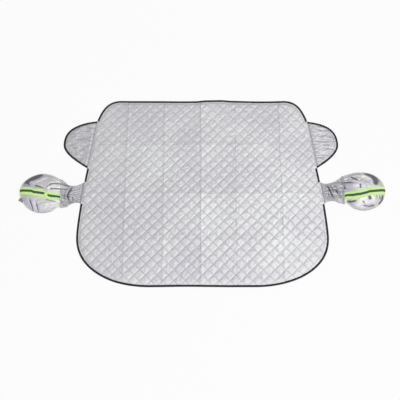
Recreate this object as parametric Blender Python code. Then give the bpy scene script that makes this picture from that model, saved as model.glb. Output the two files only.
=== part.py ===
"""Windshield frost cover, lying open on a flat surface with its outer side up.

X runs across the car, Y from the bottom edge of the panel to its top edge, Z up.
The origin is on the surface it lies on, under the middle of the quilted panel.
"""
import math

import bmesh
import bpy
from mathutils import Matrix, Vector
from mathutils.geometry import interpolate_bezier

# Panel outline, to the outer fold of its binding
PANEL_WIDTH = 1.470
PANEL_LENGTH = 1.156
TOP_FLAT = 1.000                 # straight stretch of the top edge
BOTTOM_FLAT = 0.600              # straight stretch of the bottom edge
SHOULDER_DROP = 0.123            # top edge down to the shoulder
SHOULDER_SET_IN = 0.0955         # widest point in to the shoulder
SHOULDER_SLOPE = 0.40            # sideways run per length of drop, above the shoulder
SIDE_SLOPE = 0.18                # the same, below the shoulder
WIDEST_RISE = 0.298              # bottom edge up to the widest point
TOP_CORNER_PULL = 0.090
SHOULDER_PULL = 0.060
SIDE_PULL = 0.150
LOWER_SIDE_PULL = 0.200
BOTTOM_PULL = 0.240

# Quilting: square diamonds that stand on their corners
QUILT_PITCH = 0.0456             # between neighbouring lines of stitching
QUILT_SHIFT_X = -0.0045          # nearest crossing of two lines, from the panel's middle
QUILT_SHIFT_Y = 0.0073
PILLOW_RISE = 0.0055             # pillow top above the stitched groove
GROOVE_HEIGHT = 0.0045           # top of the groove above the floor
QUILT_TAPER = 0.022              # width over which the pillows flatten towards the edge
QUILT_TUCK = 0.006               # how far the underside lies in from the quilt's edge
QUILT_CREASE = 23                # degrees: the grooves stay sharp, the pillows are rounded

# Cloth, tape and the room between pieces
EDGE_THICKNESS = 0.0016          # the panel, pressed flat under its binding
CLOTH_THICKNESS = 0.0008         # flaps and sleeves
TAPE_THICKNESS = 0.0008
TAPE_WIDTH = 0.012               # each leg of the folded binding
CLEARANCE = 0.0003
LEAST_RUN = 0.0025               # shortest step between points of a cut edge

# Side flaps
FLAP_TOP_DROP = 0.136            # top edge of the panel down to the flap's upper corner
FLAP_BOTTOM_DROP = 0.441         # and down to its lower corner
FLAP_WIDEST_DROP = 0.288
FLAP_REACH = 0.098               # beyond the panel's widest point
FLAP_TOP_PULL = 0.160
FLAP_TOP_SLOPE = 0.10
FLAP_ROUND_PULL = 0.070
FLAP_BOTTOM_PULL = 0.0256
FLAP_BOTTOM_SLOPE = 0.80

# Sleeves and mirror pouches
SLEEVE_DROP = 0.5945             # top edge of the panel down to the sleeve's middle
SLEEVE_WIDTH = 0.137             # where it is sewn to the panel
SLEEVE_WAIST = 0.114             # half way to the pouch
SLEEVE_REACH = 0.065             # panel's widest point out to the pouch's neck
SLEEVE_GATHERS = 5
GATHER_HEIGHT = 0.0045
NECK_WIDTH = 0.136
NECK_HEIGHT = 0.016
NECK_LAP = 0.009                 # the sleeve's end over the pouch's neck
FLARE_LENGTH = 0.150             # neck to the pouch's widest place
FLARE_TOP_SLOPE = 0.80
FLARE_BOTTOM_SLOPE = 0.12
FLARE_PULL = 0.040
CREST_PULL = 0.060
CAP_LENGTH = 0.138               # widest place to the tip
POUCH_WIDTH = 0.248
POUCH_HEIGHT = 0.055
POUCH_WALL = 0.0010
PLEAT_HEIGHT = 0.0050            # folds that run from the neck to the widest place
BACK_THICKNESS = 0.0010
MOUTH_SET_BACK = 0.055           # neck to the edge of the mouth, underneath
ELASTIC_WIDTH = 0.006
ELASTIC_HEIGHT = 0.0026

# Warning ribbon across each pouch
RIBBON_WIDTH = 0.048
RIBBON_THICKNESS = 0.0005
RIM_MARGIN = 0.004               # least distance from the ribbon's edge to the pouch's rim
STRIP_WIDTH = 0.012
STRIP_THICKNESS = 0.0004

# How each pouch lies: shifts along Y from the sleeve's middle
LEFT_LIE = {"side": -1, "neck": -0.019, "crest": -0.0015, "tip": 0.0045,
            "ribbon_neck": -0.040, "ribbon_tip": 0.0045}
RIGHT_LIE = {"side": 1, "neck": 0.0075, "crest": 0.0125, "tip": 0.0115,
             "ribbon_neck": -0.034, "ribbon_tip": 0.0160}

# Facets
CORNER_STEPS = 7
SIDE_STEPS = 10
LOWER_STEPS = 14
FLAP_STEPS = 7
FLARE_STEPS = 6
CAP_STEPS = 6
ARCH_STEPS = 8                   # each side of the ribbon
STEPS_PER_PLEAT = 2
PLEAT_BIAS = 0.6                 # below 1, the pleats are deepest near the neck
SLEEVE_ROWS = 3
STEPS_PER_GATHER = 4
CLOTH_CREASE = 50                # degrees: folds sharper than this stay sharp

# Heights of the layers, from the floor up
FLAP_LOW = TAPE_THICKNESS + CLEARANCE
FLAP_HIGH = FLAP_LOW + CLOTH_THICKNESS
EDGE_LOW = FLAP_HIGH + CLEARANCE
EDGE_HIGH = EDGE_LOW + EDGE_THICKNESS
EDGE_MIDDLE = (EDGE_LOW + EDGE_HIGH) / 2
PILLOW_TOP = GROOVE_HEIGHT + PILLOW_RISE
POUCH_RIM = BACK_THICKNESS + CLEARANCE

# Distances in from the outline
CLOTH_INSET = TAPE_THICKNESS + CLEARANCE
QUILT_INSET = TAPE_WIDTH + 2 * CLEARANCE
LAP = TAPE_WIDTH

HALF_WIDTH = PANEL_WIDTH / 2
HALF_LENGTH = PANEL_LENGTH / 2
SLEEVE_MIDDLE = HALF_LENGTH - SLEEVE_DROP
UP = Vector((0, 0, 1))


def clear_scene():
    for obj in list(bpy.data.objects):
        bpy.data.objects.remove(obj, do_unlink=True)


def material(name, colour, roughness, metallic=0.0):
    mat = bpy.data.materials.new(name)
    mat.use_nodes = True
    shader = mat.node_tree.nodes["Principled BSDF"]
    shader.inputs["Base Color"].default_value = (*colour, 1)
    shader.inputs["Roughness"].default_value = roughness
    shader.inputs["Metallic"].default_value = metallic
    return mat


def plan(x, y):
    return Vector((x, y, 0))


def curve(start, start_pull, end_pull, end, steps):
    """Points along a cubic curve whose handles reach out from its ends by the two pulls."""
    points = interpolate_bezier(start, start + start_pull, end + end_pull, end, steps + 1)
    return [Vector(point) for point in points]


def mirrored(points):
    """The same line on the other side of the car, in the opposite order."""
    return [plan(-p.x, p.y) for p in reversed(points)]


def offset(points, distance, closed=False):
    """Moves a plan line to the left of its direction, keeping its corners mitred."""
    count = len(points)
    moved = []
    for i, point in enumerate(points):
        before = points[i - 1] if closed or i > 0 else None
        after = points[(i + 1) % count] if closed or i < count - 1 else None
        normals = []
        for a, b in ((before, point), (point, after)):
            if a is not None and b is not None:
                run = (b - a).normalized()
                normals.append(plan(-run.y, run.x))
        mitre = sum(normals, Vector()).normalized()
        moved.append(point + mitre * distance / mitre.dot(normals[0]))
    return moved


def point_at(edge, height):
    """Where an edge that runs down the page passes a given Y."""
    for a, b in zip(edge, edge[1:]):
        if b.y <= height <= a.y and a.y > b.y:
            return a.lerp(b, (a.y - height) / (a.y - b.y))
    raise ValueError("the edge does not reach that height")


def run_down(edge, upper=None, lower=None):
    """The stretch of an edge between two heights, without crowding its ends."""
    start = [point_at(edge, upper)] if upper is not None else []
    finish = [point_at(edge, lower)] if lower is not None else []
    high = upper - LEAST_RUN if start else math.inf
    low = lower + LEAST_RUN if finish else -math.inf
    return start + [p for p in edge if low < p.y < high] + finish


def smooth_step(value):
    value = max(0.0, min(1.0, value))
    return value * value * (3 - 2 * value)


def add_object(name, bm, mat):
    bmesh.ops.remove_doubles(bm, verts=bm.verts, dist=1e-6)
    bmesh.ops.recalc_face_normals(bm, faces=bm.faces)
    mesh = bpy.data.meshes.new(name)
    bm.to_mesh(mesh)
    bm.free()
    mesh.materials.append(mat)
    obj = bpy.data.objects.new(name, mesh)
    bpy.context.scene.collection.objects.link(obj)
    return obj


def soften(obj, degrees):
    obj.data.shade_smooth()
    obj.data.set_sharp_from_angle(angle=math.radians(degrees))


def loft(name, loops, mat):
    """A closed body through rings of points, with a flat cap on each end."""
    bm = bmesh.new()
    rings = [[bm.verts.new(point) for point in loop] for loop in loops]
    for ring, following in zip(rings, rings[1:]):
        for i in range(len(ring)):
            bm.faces.new((ring[i - 1], ring[i], following[i], following[i - 1]))
    bm.faces.new(rings[0])
    bm.faces.new(reversed(rings[-1]))
    return add_object(name, bm, mat)


def sheet(name, upper, lower, mat):
    """A thin closed body between two grids of points, one over the other."""
    bm = bmesh.new()
    top, bottom = ([[bm.verts.new(p) for p in row] for row in grid] for grid in (upper, lower))
    rows, columns = len(top) - 1, len(top[0]) - 1
    for r in range(rows):
        for c in range(columns):
            for grid in (top, bottom):
                bm.faces.new((grid[r][c], grid[r][c + 1], grid[r + 1][c + 1], grid[r + 1][c]))
    border = [(0, c) for c in range(columns)] + [(r, columns) for r in range(rows)]
    border += [(rows, c) for c in range(columns, 0, -1)] + [(r, 0) for r in range(rows, 0, -1)]
    for (r1, c1), (r2, c2) in zip(border, border[1:] + border[:1]):
        bm.faces.new((top[r1][c1], top[r2][c2], bottom[r2][c2], bottom[r1][c1]))
    return add_object(name, bm, mat)


def at_height(points, height):
    return [point + UP * height for point in points]


def combine(obj, other, operation):
    """Adds a Boolean with a guide body that stays out of the finished part."""
    other.hide_render = True
    other.display_type = "WIRE"
    boolean = obj.modifiers.new(operation.title(), "BOOLEAN")
    boolean.operation = operation
    boolean.solver = "EXACT"
    boolean.object = other


def right_edge():
    """Right half of the panel's outline, down the page."""
    top = plan(TOP_FLAT / 2, HALF_LENGTH)
    shoulder = plan(HALF_WIDTH - SHOULDER_SET_IN, HALF_LENGTH - SHOULDER_DROP)
    widest = plan(HALF_WIDTH, WIDEST_RISE - HALF_LENGTH)
    bottom = plan(BOTTOM_FLAT / 2, -HALF_LENGTH)
    corner = curve(top, plan(TOP_CORNER_PULL, 0),
                   plan(-SHOULDER_SLOPE, 1) * SHOULDER_PULL, shoulder, CORNER_STEPS)
    side = curve(shoulder, plan(SIDE_SLOPE, -1) * SIDE_PULL,
                 plan(0, SIDE_PULL), widest, SIDE_STEPS)
    lower = curve(widest, plan(0, -LOWER_SIDE_PULL), plan(BOTTOM_PULL, 0), bottom, LOWER_STEPS)
    return corner + side[1:] + lower[1:]


def flap_edge(edge):
    """Outer edge of the right flap, from its upper corner round to its lower one."""
    upper = point_at(edge, HALF_LENGTH - FLAP_TOP_DROP)
    lower = point_at(edge, HALF_LENGTH - FLAP_BOTTOM_DROP)
    widest = plan(HALF_WIDTH + FLAP_REACH, HALF_LENGTH - FLAP_WIDEST_DROP)
    first = curve(upper, plan(1, -FLAP_TOP_SLOPE) * FLAP_TOP_PULL,
                  plan(0, FLAP_ROUND_PULL), widest, FLAP_STEPS)
    second = curve(widest, plan(0, -FLAP_ROUND_PULL),
                   plan(1, FLAP_BOTTOM_SLOPE) * FLAP_BOTTOM_PULL, lower, FLAP_STEPS)
    return first + second[1:]


def on_side(grid, side):
    """A grid of points for the right side, carried to the side asked for."""
    return [[Vector((p.x * side, p.y, p.z)) for p in row] for row in grid]


def quilt_lattice(mat):
    """A slab whose top is a lattice of pillows, larger than the panel."""
    reach = (HALF_WIDTH + HALF_LENGTH) / math.sqrt(2) + QUILT_PITCH
    cells = 2 * math.ceil(reach / QUILT_PITCH)
    bm = bmesh.new()
    bmesh.ops.create_grid(bm, x_segments=cells, y_segments=cells, size=cells * QUILT_PITCH / 2)
    pillows = bm.faces[:]
    base = bmesh.ops.extrude_face_region(bm, geom=pillows, use_keep_orig=True)["geom"]
    base_faces = [item for item in base if isinstance(item, bmesh.types.BMFace)]
    bmesh.ops.translate(bm, verts=[v for v in base if isinstance(v, bmesh.types.BMVert)],
                        vec=-UP * 2 * GROOVE_HEIGHT)
    bmesh.ops.dissolve_faces(bm, faces=base_faces)
    bmesh.ops.recalc_face_normals(bm, faces=bm.faces)
    bmesh.ops.poke(bm, faces=pillows, offset=PILLOW_RISE)
    bmesh.ops.translate(bm, verts=bm.verts, vec=UP * GROOVE_HEIGHT)
    bmesh.ops.rotate(bm, verts=bm.verts, matrix=Matrix.Rotation(math.radians(45), 3, "Z"))
    bmesh.ops.translate(bm, verts=bm.verts, vec=plan(QUILT_SHIFT_X, QUILT_SHIFT_Y))
    return add_object("quilted_panel", bm, mat)


def build_panel(edge, mat):
    """The quilted laminate: pillows inside, pressed to a thin edge under the binding."""
    outline = edge + mirrored(edge)
    panel = quilt_lattice(mat)
    quilt_edge = offset(outline, -QUILT_INSET, closed=True)
    underside = offset(outline, -QUILT_INSET - QUILT_TUCK, closed=True)
    crown = offset(outline, -QUILT_INSET - QUILT_TAPER, closed=True)
    body = loft("quilt_limits", [underside, at_height(quilt_edge, EDGE_MIDDLE),
                                 at_height(crown, PILLOW_TOP + CLEARANCE)], mat)
    combine(panel, body, "INTERSECT")
    pressed = offset(outline, -CLOTH_INSET, closed=True)
    rim = loft("pressed_edge", [at_height(pressed, EDGE_LOW), at_height(pressed, EDGE_HIGH)], mat)
    combine(panel, rim, "UNION")
    soften(panel, QUILT_CREASE)


def build_tape(name, path, cloth_low, cloth_high, mat):
    """Binding tape folded round a cloth edge. The path is its outer fold."""
    low, high = cloth_low - CLEARANCE, cloth_high + CLEARANCE
    floor, roof = low - TAPE_THICKNESS, high + TAPE_THICKNESS
    section = [(TAPE_WIDTH, floor), (TAPE_THICKNESS, floor), (0, low),
               (0, high), (TAPE_THICKNESS, roof), (TAPE_WIDTH, roof),
               (TAPE_WIDTH, high), (TAPE_THICKNESS, high), (TAPE_THICKNESS, low),
               (TAPE_WIDTH, low)]
    lines = [at_height(offset(path, -inset), height) for inset, height in section]
    return loft(name, list(zip(*lines)), mat)


def build_panel_tapes(edge, mat):
    """Four runs of tape on the panel: the flap seams and the sleeves stay bare."""
    flap_top = HALF_LENGTH - FLAP_TOP_DROP
    flap_bottom = HALF_LENGTH - FLAP_BOTTOM_DROP
    sleeve_top = SLEEVE_MIDDLE + SLEEVE_WIDTH / 2
    sleeve_bottom = SLEEVE_MIDDLE - SLEEVE_WIDTH / 2
    over = run_down(edge, lower=flap_top)
    between = run_down(edge, upper=flap_bottom - CLEARANCE, lower=sleeve_top + CLEARANCE)
    under = run_down(edge, upper=sleeve_bottom - CLEARANCE)
    runs = {"top_binding": mirrored(over) + over, "bottom_binding": under + mirrored(under),
            "right_side_binding": between, "left_side_binding": mirrored(between)}
    for name, path in runs.items():
        build_tape(name, path, EDGE_LOW, EDGE_HIGH, mat)


def build_flap_tape(name, side, edge, mat):
    """The flap's own tape, cut off along the panel's edge at both corners."""
    fold = flap_edge(edge)
    start, end = fold[0] - fold[1], fold[-1] - fold[-2]
    path = [fold[0] + start.normalized() * TAPE_WIDTH] + fold
    path += [fold[-1] + end.normalized() * TAPE_WIDTH]
    path = path if side > 0 else mirrored(path)
    tape = build_tape(name, path, FLAP_LOW, FLAP_HIGH, mat)
    guard = offset(edge + mirrored(edge), CLEARANCE, closed=True)
    cutter = loft(name + "_cutter", [at_height(guard, -EDGE_HIGH), at_height(guard, 2 * EDGE_HIGH)], mat)
    combine(tape, cutter, "DIFFERENCE")


def build_flap(name, side, edge, mat):
    """Unquilted cloth that laps under the panel's edge and ends inside its tape."""
    fold = flap_edge(edge)
    seam = run_down(edge, upper=fold[0].y, lower=fold[-1].y)
    outline = offset(fold, -CLOTH_INSET) + list(reversed(offset(seam, -LAP)))
    outline = outline if side > 0 else mirrored(outline)
    loft(name, [at_height(outline, FLAP_LOW), at_height(outline, FLAP_HIGH)], mat)


def pouch_stations(lie):
    """Upper edge, lower edge and height of a pouch at each station from neck to tip."""
    neck_x = HALF_WIDTH + SLEEVE_REACH
    crest_x = neck_x + FLARE_LENGTH
    tip = plan(crest_x + CAP_LENGTH, SLEEVE_MIDDLE + lie["tip"])
    rails = []
    for way, slope in ((1, FLARE_TOP_SLOPE), (-1, FLARE_BOTTOM_SLOPE)):
        neck = plan(neck_x, SLEEVE_MIDDLE + lie["neck"] + way * NECK_WIDTH / 2)
        crest = plan(crest_x, SLEEVE_MIDDLE + lie["crest"] + way * POUCH_WIDTH / 2)
        flare = curve(neck, plan(1, way * slope) * FLARE_PULL, plan(-CREST_PULL, 0), crest, FLARE_STEPS)
        lap = flare[0].lerp(flare[1], NECK_LAP / (flare[1] - flare[0]).length)
        cap = []
        for i in range(1, CAP_STEPS + 1):
            turn = math.radians(90) * i / CAP_STEPS
            middle = SLEEVE_MIDDLE + lie["crest"] + (lie["tip"] - lie["crest"]) * math.sin(turn)
            cap.append(plan(crest_x + CAP_LENGTH * math.sin(turn),
                            middle + way * POUCH_WIDTH / 2 * math.cos(turn)))
        cap[-1] = tip
        rails.append([flare[0], lap] + flare[1:] + cap)
    stations = []
    for upper, lower in zip(*rails):
        if upper.x <= crest_x:
            swell = smooth_step((upper.x - neck_x) / FLARE_LENGTH)
            height = NECK_HEIGHT + (POUCH_HEIGHT - NECK_HEIGHT) * swell
            lean = 0.0
        else:
            lean = min(1.0, (upper.x - crest_x) / CAP_LENGTH)
            height = POUCH_HEIGHT * math.sqrt(1 - lean * lean)
        stations.append((upper, lower, height, lean))
    return stations


def arch(station, angles, lift):
    """One arched row over a station, raised off the pouch's surface by lift."""
    upper, lower, height, lean = station
    middle = (upper + lower) / 2
    half = (upper - lower) / 2
    middle = middle + Vector((lift * lean, 0, 0))
    if half.length < TAPE_THICKNESS:
        return [middle + UP * POUCH_RIM for _ in angles]
    grown = half * (1 + lift / half.length)
    return [middle + grown * math.cos(a) + UP * (POUCH_RIM + (height + lift) * math.sin(a))
            for a in angles]


def ribbon_middle(lie, x):
    neck_x = HALF_WIDTH + SLEEVE_REACH
    share = (x - neck_x) / (FLARE_LENGTH + CAP_LENGTH)
    return SLEEVE_MIDDLE + lie["ribbon_neck"] + (lie["ribbon_tip"] - lie["ribbon_neck"]) * share


def column_angles(lie, station):
    """Arch angles at one station, with a line under each edge of ribbon and strip."""
    upper, lower = station[0], station[1]
    middle = (upper + lower) / 2
    half = max((upper - lower).length / 2, RIBBON_WIDTH / 2 + RIM_MARGIN)
    most = 1 - RIM_MARGIN / half
    edges = []
    for side_step in (RIBBON_WIDTH / 2, STRIP_WIDTH / 2, -STRIP_WIDTH / 2, -RIBBON_WIDTH / 2):
        share = (ribbon_middle(lie, middle.x) + side_step - middle.y) / half
        edges.append(math.acos(max(-most, min(most, share))))
    first = [edges[0] * i / ARCH_STEPS for i in range(ARCH_STEPS)]
    last = [edges[-1] + (math.pi - edges[-1]) * i / ARCH_STEPS for i in range(1, ARCH_STEPS + 1)]
    return first + edges + last


def pleat_height(column, last, x):
    """Rise of the pleats, nothing at the ribbon, at the rims and where the sleeve laps over."""
    from_rim = min(column, last - column)
    run = (x - HALF_WIDTH - SLEEVE_REACH - NECK_LAP) / (FLARE_LENGTH - NECK_LAP)
    if from_rim >= ARCH_STEPS or not 0 < run < 1:
        return 0.0
    fold = (1 - math.cos(math.tau * from_rim / STEPS_PER_PLEAT)) / 2
    return PLEAT_HEIGHT * fold * math.sin(math.pi * run ** PLEAT_BIAS)


def pouch_grid(lie, stations, lift):
    """Rows of points over the pouch: its arches, with the pleats standing out from them."""
    grid = []
    for station in stations:
        angles = column_angles(lie, station)
        row = arch(station, angles, lift)
        for column, angle in enumerate(angles):
            outward = Vector((0, math.cos(angle), math.sin(angle)))
            row[column] = row[column] + outward * pleat_height(column, len(angles) - 1, station[0].x)
        grid.append(row)
    return grid


def build_pouch_front(name, lie, stations, mat):
    outer = pouch_grid(lie, stations, 0)
    inner = pouch_grid(lie, stations, -POUCH_WALL)
    front = sheet(name, on_side(outer, lie["side"]), on_side(inner, lie["side"]), mat)
    soften(front, CLOTH_CREASE)


def build_ribbon(name, lie, stations, columns, low, thickness, mat):
    """A band that follows the pouch between two of its columns."""
    run = stations[2:-1]
    first, last = columns
    upper = [row[first:last + 1] for row in pouch_grid(lie, run, low + thickness)]
    lower = [row[first:last + 1] for row in pouch_grid(lie, run, low)]
    band = sheet(name, on_side(upper, lie["side"]), on_side(lower, lie["side"]), mat)
    soften(band, CLOTH_CREASE)


def mouth_line(stations):
    """Where the mouth crosses the pouch: a point on its upper and one on its lower edge."""
    mouth_x = stations[0][0].x + MOUTH_SET_BACK
    ends = []
    for rail in (0, 1):
        line = [station[rail] for station in stations]
        for a, b in zip(line, line[1:]):
            if a.x <= mouth_x < b.x:
                ends.append(a.lerp(b, (mouth_x - a.x) / (b.x - a.x)))
    return ends


def build_pouch_back(name, lie, stations, mat):
    """The flat cloth under the pouch, from the mouth to the tip."""
    upper_end, lower_end = mouth_line(stations)
    beyond = [s for s in stations[:-1] if s[0].x > upper_end.x + LEAST_RUN]
    outline = [upper_end] + [s[0] for s in beyond] + [stations[-1][0]]
    outline += [s[1] for s in reversed(beyond)] + [lower_end]
    outline = on_side([outline], lie["side"])[0]
    loft(name, [outline, at_height(outline, BACK_THICKNESS)], mat)


def build_mouth_elastic(name, lie, stations, mat):
    """Elastic in the hem of the mouth, from wall to wall of the pouch."""
    ends = mouth_line(stations)
    inward = (ends[1] - ends[0]).normalized() * (2 * POUCH_WALL + 2 * CLEARANCE + ELASTIC_WIDTH / 2)
    start, finish = ends[0] + inward, ends[1] - inward
    near, far = CLEARANCE, CLEARANCE + ELASTIC_WIDTH
    corners = [start - plan(near, 0), finish - plan(near, 0), finish - plan(far, 0), start - plan(far, 0)]
    corners = on_side([corners], lie["side"])[0]
    elastic = loft(name, [corners, at_height(corners, ELASTIC_HEIGHT)], mat)
    bevel = elastic.modifiers.new("Rounded hem", "BEVEL")
    bevel.width = ELASTIC_HEIGHT / 4
    bevel.segments = 2


def build_sleeve(name, lie, edge, stations, mat):
    """Gathered cloth from under the panel's edge to over the pouch's neck."""
    steps = SLEEVE_GATHERS * STEPS_PER_GATHER
    angles = [math.pi * c / steps for c in range(steps + 1)]
    top = SLEEVE_MIDDLE + SLEEVE_WIDTH / 2
    bottom = SLEEVE_MIDDLE - SLEEVE_WIDTH / 2
    attach = [point_at(edge, (top + bottom) / 2 + (top - bottom) / 2 * math.cos(a)) for a in angles]
    flat_rows = [offset(attach, -LAP), offset(attach, CLEARANCE)]
    folds = [(1 - math.cos(math.tau * SLEEVE_GATHERS * c / steps)) / 2 for c in range(steps + 1)]
    grids = []
    for layer_low, lift in ((FLAP_LOW, CLEARANCE), (FLAP_HIGH, CLEARANCE + CLOTH_THICKNESS)):
        neck = arch(stations[0], angles, lift)
        lap = arch(stations[1], angles, lift)
        grid = [at_height(row, layer_low) for row in flat_rows]
        for r in range(1, SLEEVE_ROWS + 1):
            share = r / (SLEEVE_ROWS + 1)
            rise = smooth_step(share)
            middle = SLEEVE_MIDDLE + lie["neck"] * share
            narrowed = 1 - (1 - SLEEVE_WAIST / SLEEVE_WIDTH) * math.sin(math.pi * share)
            row = []
            for a, b in zip(grid[1], neck):
                point = a.lerp(b, share)
                point.y = middle + (point.y - middle) * narrowed
                point.z = a.z + (b.z - a.z) * rise
                row.append(point)
            grid.append(row)
        grid += [neck, lap]
        for r in range(2, len(grid)):
            swell = GATHER_HEIGHT * math.sin(math.radians(90) * min(1, (r - 1) / SLEEVE_ROWS))
            for c, fold in enumerate(folds):
                outward = Vector((0, math.cos(angles[c]), math.sin(angles[c])))
                grid[r][c] = grid[r][c] + outward * swell * fold
        grids.append(grid)
    lower, upper = grids
    sleeve = sheet(name, on_side(upper, lie["side"]), on_side(lower, lie["side"]), mat)
    soften(sleeve, CLOTH_CREASE)


def build_pouch(side_name, lie, edge, mats):
    stations = pouch_stations(lie)
    ribbon_columns = (ARCH_STEPS, ARCH_STEPS + 3)
    strip_columns = (ARCH_STEPS + 1, ARCH_STEPS + 2)
    strip_low = 2 * CLEARANCE + RIBBON_THICKNESS
    build_sleeve(side_name + "_sleeve", lie, edge, stations, mats["cloth"])
    build_pouch_front(side_name + "_pouch_front", lie, stations, mats["taffeta"])
    build_pouch_back(side_name + "_pouch_back", lie, stations, mats["taffeta"])
    build_mouth_elastic(side_name + "_mouth_elastic", lie, stations, mats["elastic"])
    build_ribbon(side_name + "_neon_ribbon", lie, stations, ribbon_columns,
                 CLEARANCE, RIBBON_THICKNESS, mats["neon"])
    build_ribbon(side_name + "_reflective_strip", lie, stations, strip_columns,
                 strip_low, STRIP_THICKNESS, mats["reflective"])


def build_cover():
    mats = {
        "film": material("Quilted silver film", (0.60, 0.60, 0.62), 0.42, 0.55),
        "cloth": material("Plain silver cloth", (0.58, 0.58, 0.60), 0.48, 0.45),
        "taffeta": material("Shiny silver taffeta", (0.62, 0.61, 0.65), 0.30, 0.70),
        "tape": material("Black binding tape", (0.015, 0.015, 0.017), 0.75),
        "elastic": material("Grey elastic", (0.12, 0.12, 0.13), 0.80),
        "neon": material("Neon lime ribbon", (0.35, 0.85, 0.06), 0.55),
        "reflective": material("Grey reflective strip", (0.10, 0.16, 0.13), 0.35, 0.30),
    }
    edge = right_edge()
    build_panel(edge, mats["film"])
    build_panel_tapes(edge, mats["tape"])
    for side_name, side in (("left", -1), ("right", 1)):
        build_flap(side_name + "_flap", side, edge, mats["cloth"])
        build_flap_tape(side_name + "_flap_binding", side, edge, mats["tape"])
    build_pouch("left", LEFT_LIE, edge, mats)
    build_pouch("right", RIGHT_LIE, edge, mats)


clear_scene()
build_cover()
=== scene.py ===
"""Looks of the windshield frost cover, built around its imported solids.

Lengths are in metres, and those of the folds' tables in millimetres. X runs across the car,
Y towards the panel's top edge and Z up. The panel, its tapes, the flaps and the sleeves are
shaped where the flat cut lies, and lie() then lays them.
"""
import math
from bisect import bisect_left
from functools import cache

import bmesh
import bpy
from mathutils import Matrix, Vector, kdtree, noise
from mathutils.geometry import interpolate_bezier


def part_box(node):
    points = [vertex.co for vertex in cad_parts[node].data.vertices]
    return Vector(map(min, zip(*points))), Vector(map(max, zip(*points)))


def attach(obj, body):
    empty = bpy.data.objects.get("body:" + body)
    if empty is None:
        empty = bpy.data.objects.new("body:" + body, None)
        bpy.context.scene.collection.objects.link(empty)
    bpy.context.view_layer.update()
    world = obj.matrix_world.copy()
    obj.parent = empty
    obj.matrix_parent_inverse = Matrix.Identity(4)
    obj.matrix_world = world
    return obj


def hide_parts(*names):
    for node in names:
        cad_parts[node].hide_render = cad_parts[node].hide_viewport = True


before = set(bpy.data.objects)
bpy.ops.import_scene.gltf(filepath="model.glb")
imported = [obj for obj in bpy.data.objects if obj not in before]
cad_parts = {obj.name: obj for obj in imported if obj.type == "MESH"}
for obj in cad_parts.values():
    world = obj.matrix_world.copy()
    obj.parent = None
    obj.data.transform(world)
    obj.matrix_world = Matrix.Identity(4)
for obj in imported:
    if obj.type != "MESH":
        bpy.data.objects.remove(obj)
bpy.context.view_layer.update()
noise.seed_set(1)    # without a seed, noise_vector differs from run to run

# The panel's outline, to the outer fold of its binding
HALF_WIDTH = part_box("bottom_binding")[1].x
HALF_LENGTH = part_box("top_binding")[1].y
TOP_FLAT = 1.000
BOTTOM_FLAT = 0.600
SHOULDER_DROP = 0.123
SHOULDER_SET_IN = 0.0955
SHOULDER_SLOPE = 0.40
SIDE_SLOPE = 0.18
WIDEST_RISE = 0.298
TOP_CORNER_PULL = 0.090
SHOULDER_PULL = 0.060
SIDE_PULL = 0.150
LOWER_SIDE_PULL = 0.200
BOTTOM_PULL = 0.240

# Side flaps
FLAP_TOP_DROP = 0.136
FLAP_BOTTOM_DROP = 0.441
FLAP_WIDEST_DROP = 0.288
FLAP_REACH = 0.098
FLAP_TOP_PULL = 0.160
FLAP_TOP_SLOPE = 0.10
FLAP_ROUND_PULL = 0.070
FLAP_BOTTOM_PULL = 0.0256
FLAP_BOTTOM_SLOPE = 0.80
FLAP_SWELL = 0.0028
FLAP_STREAKS = 0.0026
FLAP_CREASES = 0.0034
FLAP_PUFF = 0.0020
FLAP_TOP, FLAP_BOTTOM = HALF_LENGTH - FLAP_TOP_DROP, HALF_LENGTH - FLAP_BOTTOM_DROP

# How the cloth has come to lie
TOP_BULGE = 0.0045  # the top edge, where it stands out
TOP_BULGE_X = 0.068
TOP_BULGE_REACH = 0.070
FLAP_DRAW = -0.055  # both flaps are drawn to the left, as a share of their reach
WAVER = 0.0045
ROLL_LIFT = 0.0030

# Quilting: square diamonds that stand on their corners
QUILT_PITCH = 0.0456
QUILT_SHIFT_X = -0.0045
QUILT_SHIFT_Y = 0.0073
QUILT_STEPS = 10  # faces along one side of a pillow
LINING_STEPS = 4
GROOVE_HEIGHT = 0.0046
PILLOW_RISE = 0.0035
TOP_FLATTENING = 0.35  # the pillows lie flatter towards the panel's top edge
PILLOW_FULLNESS = 0.36  # below 1, the pillow is steep beside its stitches
LINING_RISE = 0.0014  # the lining is drawn up along the stitches
FILM_WRINKLES = ((52, 0.0015), (105, 0.0010))  # scale and height
FILM_RIPPLE = 0.0004
EDGE_STITCH_DENT = 0.0008
CRINKLE_BEND = 0.006
STITCHES_A_PILLOW = 11.0
PRESSED_WIDTH = 0.0170  # plain strip from the outline to the first pillows
PRESSED_BLEND = 0.012
SEAM_PRESSED_WIDTH = 0.003  # the same, where a flap or a sleeve is sewn on
SEAM_FADE = 0.010
EDGE_STITCH_INSET = 0.0215  # second row of stitches, inside the binding

# Creases left by the folded packing: place and height of the ridge
UPRIGHT_CREASES = ((-0.4537, 0.0034), (-0.2281, 0.0030), (-0.0086, 0.0046),
                   (0.2021, 0.0026), (0.4721, 0.0032))
LEVEL_CREASES = ((0.2897, 0.0028), (-0.0188, 0.0034), (-0.2964, 0.0028))
CREASE_WIDTH = 0.040
CREASE_CORE_WIDTH = 0.007  # the sharp middle of the crease
CREASE_SHADE_WIDTH = 0.0055  # the line of painted shade on the lower and left side of each crease, turned from the light
CREASE_SHADE_SHIFT = 0.003
CREASE_SHADE_RISE = 0.0046

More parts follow.
